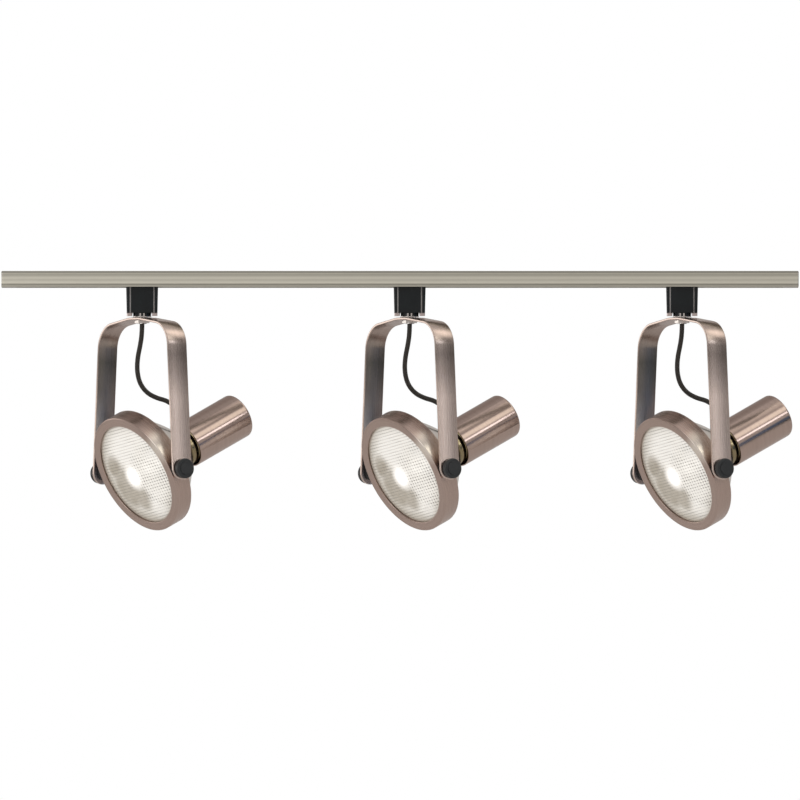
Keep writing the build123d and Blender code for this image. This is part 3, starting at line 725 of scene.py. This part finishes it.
def yoke_mesh(name, matrix):
    """The bent strap with rounded edges and feet; the left arm's inner face takes a darker material, painted
    shade.
    """
    inner_face = 7  # the section's side that faces the lamp
    edge_share = 0.2  # how much the strap's thickness counts in the UVs
    vertices, vertex_uvs, faces, uvs, slots = [], [], [], [], []
    along = 0.0
    rows = []
    previous = None
    for point, direction, half in strap_stations(matrix.translation.z):
        out = Vector((direction.y, -direction.x))
        if previous is not None:
            along += (point - previous).length
        previous = point
        row = []
        for across, outward in strap_section(half):
            row.append(len(vertices))
            spot = point + out * outward
            vertices.append((spot.x, spot.y, across))
            vertex_uvs.append((along, across + outward * edge_share))
        rows.append(row)
    size = len(rows[0])
    for low, high in zip(rows, rows[1:]):
        left_side = vertices[high[0]][0] < 0
        for k in range(size):
            m = (k + 1) % size
            quad = [low[k], high[k], high[m], low[m]]
            faces.append(quad)
            uvs.append([vertex_uvs[i] for i in quad])
            # the left arm's inner face takes the darker material, painted shade
            slots.append(1 if k == inner_face and left_side else 0)
    for row, flip in ((rows[0], False), (rows[-1], True)):
        cap = list(reversed(row)) if flip else list(row)
        faces.append(cap)
        uvs.append([vertex_uvs[i] for i in cap])
        slots.append(0)
    return link_mesh(name, vertices, faces, uvs, [strap_metal, shaded_inside_metal], slots, matrix, 50)


def ring_outline():
    """The gimbal ring's band and front lip, with rolled edges, from the middle of its back edge and round."""
    inner = RING_RADIUS - RING_WALL
    back_middle = ((inner + RING_RADIUS) / 2, RING_BACK)
    corners = [
        (inner, RING_BACK),
        (inner, RING_FRONT - RING_WALL),
        (LIP_RADIUS, RING_FRONT - RING_WALL),
        (LIP_RADIUS, RING_FRONT),
        (RING_RADIUS, RING_FRONT),
        (RING_RADIUS, RING_BACK),
    ]
    return softened([back_middle, *corners, back_middle], 1.3 * MM, 5)[:-1]


def lens_mesh(name, matrix):
    """The lamp's face: a shallow dome with rows of small pillow lenses inside a smooth rim."""
    per_cell = 4
    step_u, step_v = LENSLET_WIDTH / per_cell, LENSLET_HEIGHT / per_cell
    reach = LIP_RADIUS + 0.6 * MM
    field = LIP_RADIUS - 2.2 * MM
    rim = 1.5 * MM
    pillow_height = 0.42 * MM
    turn = LENSLET_TURN
    count = int(reach / step_v) + 1
    index, vertices, faces, uvs = {}, [], [], []

    def height(r):
        """Height of the smooth dome under the lenses, at a distance from the middle."""
        return (8.45 - 1.7 * (r / LIP_RADIUS) ** 2) * MM

    for i in range(-count, count + 1):
        for j in range(-count, count + 1):
            u, v = i * step_u, j * step_v
            r = math.hypot(u, v)
            if r > reach:
                continue
            phase_u = (i % per_cell) / per_cell * 2 - 1
            phase_v = (j % per_cell) / per_cell * 2 - 1
            pillow = (1 - phase_u**2) * 0.45 + (1 - phase_v**2) * 0.75
            fade = min(1.0, max(0.0, (field - r) / rim))
            x = u * math.cos(turn) - v * math.sin(turn)
            y = u * math.sin(turn) + v * math.cos(turn)
            index[i, j] = len(vertices)
            vertices.append((x, y, height(r) + pillow_height * pillow * fade))
    for (i, j), first in index.items():
        others = [index.get(key) for key in ((i + 1, j), (i + 1, j + 1), (i, j + 1))]
        if None not in others:
            faces.append([first, *others])
            uvs.append([vertices[k][:2] for k in (first, *others)])
    return link_mesh(name, vertices, faces, uvs, [glass], matrix=matrix, sharp_angle=80)


def bell_line(shrink=0.0):
    """Outline of the lamp's bell from rim to neck, as a smooth curve through a few points."""
    steps = 8
    knots = [
        (LAMP_RADIUS, 0.0),
        (LAMP_RADIUS - 1.4 * MM, -7 * MM),
        (52 * MM, -19.5 * MM),
        (40.5 * MM, -33.5 * MM),
        (28.5 * MM, -46 * MM),
        (NECK_RADIUS, NECK_Z),
    ]
    padded = [knots[0], *knots, knots[-1]]
    line = []
    for k in range(1, len(padded) - 2):
        p0, p1, p2, p3 = (Vector(p) for p in padded[k - 1 : k + 3])
        for s in range(steps):
            t = s / steps
            point = 0.5 * (
                2 * p1
                + (p2 - p0) * t
                + (2 * p0 - 5 * p1 + 4 * p2 - p3) * t**2
                + (3 * p1 - p0 - 3 * p2 + p3) * t**3
            )
            line.append((point.x - shrink, point.y))
    line.append((NECK_RADIUS - shrink, NECK_Z))
    return line


def screw_outline():
    """Brass skirt with three ridges, stepped down to the screw shell and the end contact."""
    skirt = 19.4 * MM
    skirt_end = NECK_Z - 24 * MM
    shell = 13.1 * MM
    points = [
        (NECK_RADIUS - 3 * MM, NECK_Z - 0.1 * MM),
        (NECK_RADIUS, NECK_Z - 0.1 * MM),
        (NECK_RADIUS, NECK_Z - 5 * MM),
        (skirt, NECK_Z - 6 * MM),
    ]
    for ridge in range(3):
        z = NECK_Z - (8 + 4.5 * ridge) * MM
        points += [(skirt, z), (skirt - 1 * MM, z - 1 * MM), (skirt, z - 2 * MM)]
    points += [(skirt, skirt_end + 1.5 * MM), (skirt - 1.5 * MM, skirt_end), (shell - 1 * MM, skirt_end)]
    pitch = 3.6 * MM
    for turn in range(6):
        top = skirt_end - 1 * MM - turn * pitch
        points += [(shell, top - pitch * 0.35), (shell - 1 * MM, top - pitch * 0.9)]
    end = points[-1][1]
    points += [(9 * MM, end - 3 * MM), (4.8 * MM, end - 5 * MM)]
    points += [(4.2 * MM, end - 6.4 * MM), (0, end - 7 * MM)]
    return softened(points, 0.7 * MM, 3)


def cup_outline():
    """The socket cup, open at the front: outside from its mouth to the axis, then the inside back."""
    inner = CUP_RADIUS - CUP_WALL
    outer = softened(
        [
            ((inner + CUP_RADIUS) / 2, CUP_FRONT),
            (CUP_RADIUS, CUP_FRONT),
            (CUP_RADIUS, CUP_BACK),
            (0, CUP_BACK),
        ],
        2.8 * MM,
        8,
    )
    inside = softened(
        [
            (0, CUP_BACK + CUP_WALL),
            (inner, CUP_BACK + CUP_WALL),
            (inner, CUP_FRONT),
            ((inner + CUP_RADIUS) / 2, CUP_FRONT),
        ],
        1.6 * MM,
        6,
    )
    return outer + inside[:-1]


def capsule_outline():
    """The lamp's inner bulb, a stubby finger behind the face."""
    points = [(0, -24 * MM), (8.5 * MM, -26 * MM), (9 * MM, -44 * MM), (7 * MM, -58 * MM), (0, -60 * MM)]
    return softened(points, 5 * MM, 6)


def cord_path(x):
    """Points read from the route's smooth spline, for a head whose swivel is at x."""
    curve = bpy.data.curves.new("route", "CURVE")
    curve.dimensions = "3D"
    curve.resolution_u = 12
    spline = curve.splines.new("NURBS")
    spline.points.add(len(CORD_ROUTE) - 1)
    for point, place_at in zip(spline.points, CORD_ROUTE):
        point.co = (place_at[0] + x, place_at[1], place_at[2], 1)
    spline.order_u = 3
    spline.use_endpoint_u = True
    holder = bpy.data.objects.new("route", curve)
    mesh = bpy.data.meshes.new_from_object(holder)
    points = [v.co.copy() for v in mesh.vertices]
    bpy.data.meshes.remove(mesh)
    bpy.data.objects.remove(holder)
    bpy.data.curves.remove(curve)
    return points


def cord_tube(name, path, radius, material):
    """A round tube along points, with u round it and v along it."""
    sides = CORD_SIDES
    vertices, faces, uvs, rows, along = [], [], [], [], [0.0]
    side = Vector((0, 1, 0))
    for i, point in enumerate(path):
        before, after = path[max(i - 1, 0)], path[min(i + 1, len(path) - 1)]
        direction = (after - before).normalized()
        side = (side - direction * side.dot(direction)).normalized()
        other = direction.cross(side)
        rows.append(list(range(len(vertices), len(vertices) + sides)))
        for k in range(sides):
            turn = 2 * math.pi * k / sides
            vertices.append(point + side * (radius * math.cos(turn)) + other * (radius * math.sin(turn)))
        if i:
            along.append(along[-1] + (point - path[i - 1]).length)
    wide = 2 * math.pi * radius
    for i, (low, high) in enumerate(zip(rows, rows[1:])):
        for k in range(sides):
            m = (k + 1) % sides
            u0, u1 = wide * k / sides, wide * (k + 1) / sides
            faces.append([low[k], low[m], high[m], high[k]])
            uvs.append([(u0, along[i]), (u1, along[i]), (u1, along[i + 1]), (u0, along[i + 1])])
    for row, v, flip in ((rows[0], 0.0, True), (rows[-1], along[-1], False)):
        cap = list(reversed(row)) if flip else list(row)
        faces.append(cap)
        uvs.append([(0.0, v)] * len(cap))
    return link_mesh(name, [tuple(v) for v in vertices], faces, uvs, [material], sharp_angle=60)


def round_when_bent(piece, path):
    """Give every section of the blended cord one weight, growing along the path, so it stays round."""
    held = 8 * MM  # the stretch that stays with the yoke
    ease = 0.12  # the growth starts gently over this share of the rest, and stops over as much
    ripple = 0.03  # how far the weight runs ahead in the first half and behind in the second
    reached, lengths = 0.0, [0.0]
    for before, after in zip(path, path[1:]):
        reached += (after - before).length
        lengths.append(reached)
    weights = piece.data.attributes["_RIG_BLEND"].data
    for section, along in enumerate(lengths):
        t = min(1.0, max(0.0, (along - held) / (reached - held)))
        if t < ease:
            weight = t * t / (2 * ease)
        elif t < 1 - ease:
            weight = t - ease / 2
        else:
            weight = 1 - ease - (1 - t) ** 2 / (2 * ease)
        weight = weight / (1 - ease) + ripple * math.sin(2 * math.pi * t)
        for k in range(CORD_SIDES):
            weights[section * CORD_SIDES + k].value = weight


# ---- build the heads ----

for n in HEADS:
    tilt = joints[f"tilt_{n}"]
    pivot = Vector(tilt["pos_m"])
    # the pivot's axis, the level direction towards the back of the head, and the lamp's axis from face to cup
    across = Vector(tilt["axis"]).normalized()
    away = Vector((-across.y, across.x, 0))
    rear = away * math.cos(TILT) + Vector((0, 0, math.sin(TILT)))
    up = across.cross(rear)
    lamp_axes = axes(across, up, -rear, pivot)
    yoke_axes = axes(across, Vector((0, 0, 1)), -away, pivot)
    lamp_body, yoke_body = f"lamp_{n}", f"yoke_{n}"

    path = cord_path(pivot.x)
    flex = cord_tube(f"head_cord_{n}", path, CORD_DIAMETER / 2, sleeve)
    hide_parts(f"cord_{n}")
    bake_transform(flex, yoke_body, lamp_body, start=path[0] + Vector((0, 0, -0.02)), end=path[-1])
    round_when_bent(flex, path)

    yoke = yoke_mesh(f"yoke_strap_{n}", yoke_axes)
    place(yoke, yoke_body, "brushed_nickel", f"yoke_{n}")
    ring = lathe(f"ring_shell_{n}", ring_outline(), ring_metal, lamp_axes, 160)
    place(ring, lamp_body, "brushed_nickel", f"gimbal_ring_{n}")
    lens = lens_mesh(f"lens_face_{n}", lamp_axes)
    place(lens, lamp_body, "lens_glass", f"lamp_lens_{n}")
    outside, inside = bell_line(), bell_line(BELL_WALL)[::-1]
    bell = lathe(f"bell_{n}", outside + inside, silver, lamp_axes, 128, inner=bright, split=len(outside))
    place(bell, lamp_body, "silvered_glass", f"lamp_reflector_{n}")
    base = lathe(f"screw_base_{n}", screw_outline(), brass, lamp_axes, 72, closed=False)
    place(base, lamp_body, "lamp_brass", f"lamp_base_{n}")
    cup = lathe(f"cup_shell_{n}", cup_outline(), cup_metal, lamp_axes, 128)
    place(cup, lamp_body, "brushed_nickel", f"socket_cup_{n}")
    capsule = lathe(f"inner_capsule_{n}", capsule_outline(), capsule_white, lamp_axes, 48, closed=False)
    place(capsule, lamp_body, "silvered_glass")

# ---- the CAD nodes get their materials ----

carried = {
    "track_rail": rail_metal,
    "end_caps": rail_metal,
    "rail_insulators": insulator,
    "rail_conductors": copper,
    "feed_block": terminal,
    "feed_screws": brass,
    "adapter_neck": black_gloss,
    "adapter_contacts": copper,
    "swivel_hardware": bright_metal,
    "lock_tabs": tab_metal,
    "pivot_studs": steel,
    "bushings": rubber,
    "retaining_ring": steel,
    "lampholder": phenolic,
    "knob_left": knob_plastic,
    "knob_right": knob_plastic,
    "yoke": strap_metal,
    "gimbal_ring": ring_metal,
    "lamp_lens": glass,
    "lamp_reflector": silver,
    "lamp_base": brass,
    "socket_cup": cup_metal,
    "cord": sleeve,
}
for name, node in frame["nodes"].items():
    kind = name[:-2] if name[-2:] in ("_1", "_2", "_3") else name
    node.data.materials.clear()
    if kind == "adapter_housing":
        head_x = joints[f"tilt_{name[-1]}"]["pos_m"][0]
        node.data.materials.append(adapter_black(f"adapter_black_{name[-1]}", head_x))
    else:
        node.data.materials.append(carried[kind])

# ---- floor and light ----


def lay_floor(size, height):
    """A pale square under the lamps, with a faint unevenness."""
    made = Nodes("floor_pale", Roughness=0.8)
    cloud = made.noise(made.coordinates("Object"), 3.0)
    made.colour(made.ramp(cloud, (0.3, grey(0.86)), (0.7, grey(0.9))))
    half = size / 2
    corners = [(-half, -half, 0), (half, -half, 0), (half, half, 0), (-half, half, 0)]
    floor = link_mesh("floor", corners, [[0, 1, 2, 3]], [[(0, 0), (1, 0), (1, 1), (0, 1)]], [made.material])
    floor.location.z = height
    floor.rotation_euler.z = -math.pi  # half a turn, which only turns the unevenness


lay_floor(8, -0.8)


def soft_light(name, centre, target, size, power, colour):
    """A square area light, aimed at a target."""
    data = bpy.data.lights.new(name, "AREA")
    data.shape = "SQUARE"
    data.size = size
    data.energy = power
    data.color = colour
    made = bpy.data.objects.new(name, data)
    bpy.context.scene.collection.objects.link(made)
    made.location = centre
    made.rotation_euler = (Vector(target) - Vector(centre)).to_track_quat("-Z", "Y").to_euler()


among_heads = (0, 0, -0.15)
soft_light("top_light", (0.3, -0.3, 1.5), among_heads, 1.0, 0.8, (1.0, 0.96, 0.90))
soft_light("front_light", (-1.4, -1.8, 0.5), among_heads, 1.2, 7, (1.0, 1.0, 1.0))


def studio_world():
    """White behind the object; to reflections a warm grey room with soft darker and brighter areas."""
    world = bpy.data.worlds.new("studio")
    world.use_nodes = True
    tree = world.node_tree
    tree.nodes.clear()

    def add(kind, **values):
        node = tree.nodes.new(kind)
        for key, value in values.items():
            setattr(node, key, value)
        return node

    where = add("ShaderNodeTexCoord")
    base = add("ShaderNodeRGB")
    base.outputs[0].default_value = (0.50, 0.47, 0.45, 1)
    colour = base.outputs[0]
    # direction, radius and softness in degrees, colour; x is to the right and y away from the viewer
    areas = (
        # pale floor below, a dark patch above and behind
        ((0.0, 0.1, -1.0), 60, 20, (0.66, 0.61, 0.58)),
        ((-0.19, 0.70, 0.69), 22, 14, (0.36, 0.32, 0.30)),
        # to the right: dark patches low and high, a blue one between them and a pale one just above that
        ((0.958, -0.149, -0.243), 20, 7, (0.05, 0.06, 0.05)),
        ((0.88, -0.25, 0.40), 7, 5, (0.16, 0.14, 0.13)),
        ((0.944, -0.325, -0.020), 7.5, 2.5, (0.04, 0.12, 0.26)),
        ((0.923, -0.349, 0.160), 4.5, 3.0, (0.66, 0.63, 0.60)),
        # overhead and high on the right: the strap's bright bends
        ((0.31, -0.24, 0.92), 9, 6, (0.95, 0.90, 0.82)),
        ((0.68, 0.02, 0.73), 11, 7, (1.55, 1.42, 1.28)),
        ((0.67, -0.46, 0.58), 10, 4, (1.75, 1.70, 1.53)),
        # a small lamp in front on the right: the bright line along the cups
        ((0.830, -0.455, 0.315), 4, 2.2, (5.0, 5.0, 5.1)),
        # bright on the left
        ((-0.93, 0.36, 0.05), 12, 7, (1.7, 1.62, 1.55)),
    )
    for direction, radius, soft, tone in areas:
        dot = add("ShaderNodeVectorMath", operation="DOT_PRODUCT")
        dot.inputs[1].default_value = Vector(direction).normalized()
        tree.links.new(where.outputs["Generated"], dot.inputs[0])
        fade = add("ShaderNodeMapRange", interpolation_type="SMOOTHSTEP")
        fade.inputs["From Min"].default_value = math.cos(math.radians(radius + soft))
        fade.inputs["From Max"].default_value = math.cos(math.radians(max(radius - soft, 0)))
        tree.links.new(dot.outputs["Value"], fade.inputs["Value"])
        mix = add("ShaderNodeMix", data_type="RGBA")
        tree.links.new(fade.outputs["Result"], mix.inputs[FACTOR])
        tree.links.new(colour, mix.inputs[COLOUR_A])
        mix.inputs[COLOUR_B].default_value = (*tone, 1)
        colour = mix.outputs[RESULT]
    room = add("ShaderNodeBackground")
    tree.links.new(colour, room.inputs["Color"])
    white = add("ShaderNodeBackground")
    white.inputs["Color"].default_value = (1, 1, 1, 1)
    ray = add("ShaderNodeLightPath")
    choose = add("ShaderNodeMixShader")
    tree.links.new(ray.outputs["Is Camera Ray"], choose.inputs[0])
    tree.links.new(room.outputs[0], choose.inputs[1])
    tree.links.new(white.outputs[0], choose.inputs[2])
    out = add("ShaderNodeOutputWorld")
    tree.links.new(choose.outputs[0], out.inputs["Surface"])
    bpy.context.scene.world = world


studio_world()
bpy.context.scene.view_settings.view_transform = "Standard"

bpy.context.view_layer.update()
